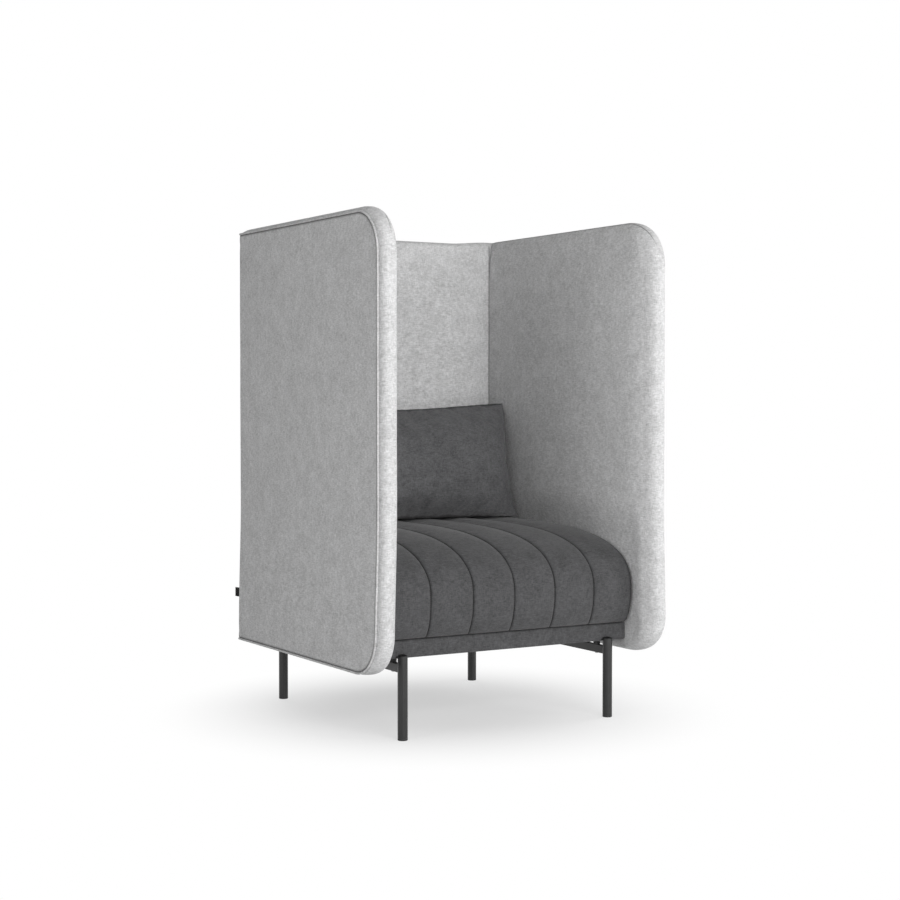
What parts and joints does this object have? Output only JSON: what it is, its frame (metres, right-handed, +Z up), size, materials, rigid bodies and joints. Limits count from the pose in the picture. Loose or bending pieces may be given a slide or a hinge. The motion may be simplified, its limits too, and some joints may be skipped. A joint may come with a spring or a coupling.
{
  "type": "acoustic lounge chair",
  "caption": "High-screened upholstered lounge chair: padded side and back panels with rolled piped borders, channelled seat, loose back cushion and two tubular steel leg frames",
  "frame": {"origin": "on the floor, under the centre of the part's box", "axes": "+X is the sitter's left, which is the viewer's right from the front; the sitter faces -Y; +Z is up"},
  "size_m": [0.8434, 0.852, 1.3],
  "materials": {
    "plywood": "bare birch plywood",
    "light_cover": "light grey fine wool felt",
    "piping": "light grey covered cord",
    "dark_cover": "dark grey fine wool felt",
    "dust_cloth": "black non-woven cloth",
    "black_steel": "satin black powder coat",
    "black_plastic": "black moulded plastic",
    "zinc": "zinc plated",
    "tag_cloth": "black folded ribbon, blank"
  },
  "bodies": {
    "chair": {"side_core_left": "plywood", "side_core_right": "plywood", "back_core": "plywood", "side_pad_left": "light_cover", "side_pad_right": "light_cover", "back_pad": "light_cover", "outer_pad_left": "light_cover", "outer_pad_right": "light_cover", "outer_pad_back": "light_cover", "piping_left": "piping", "piping_right": "piping", "piping_back": "piping", "rail_front": "dark_cover", "rail_rear": "dark_cover", "rail_left": "dark_cover", "rail_right": "dark_cover", "seat_deck": "plywood", "dust_cloth": "dust_cloth", "seat_cushion": "dark_cover", "leg_front_left": "black_steel", "leg_front_right": "black_steel", "leg_rear_left": "black_steel", "leg_rear_right": "black_steel", "leg_caps": "black_steel", "glides": "black_plastic", "side_bar_left": "black_steel", "side_bar_right": "black_steel", "spacers": "black_plastic", "frame_screws": "zinc", "screen_bolts": "zinc", "rear_tag": "tag_cloth"},
    "back_cushion_body": {"back_cushion": "dark_cover"}
  },
  "joints": [
    {"name": "back_cushion_lift", "type": "slide", "parent": "chair", "child": "back_cushion_body", "axis": [0, 0, 1], "range_m": [0, 0.3]}
  ]
}
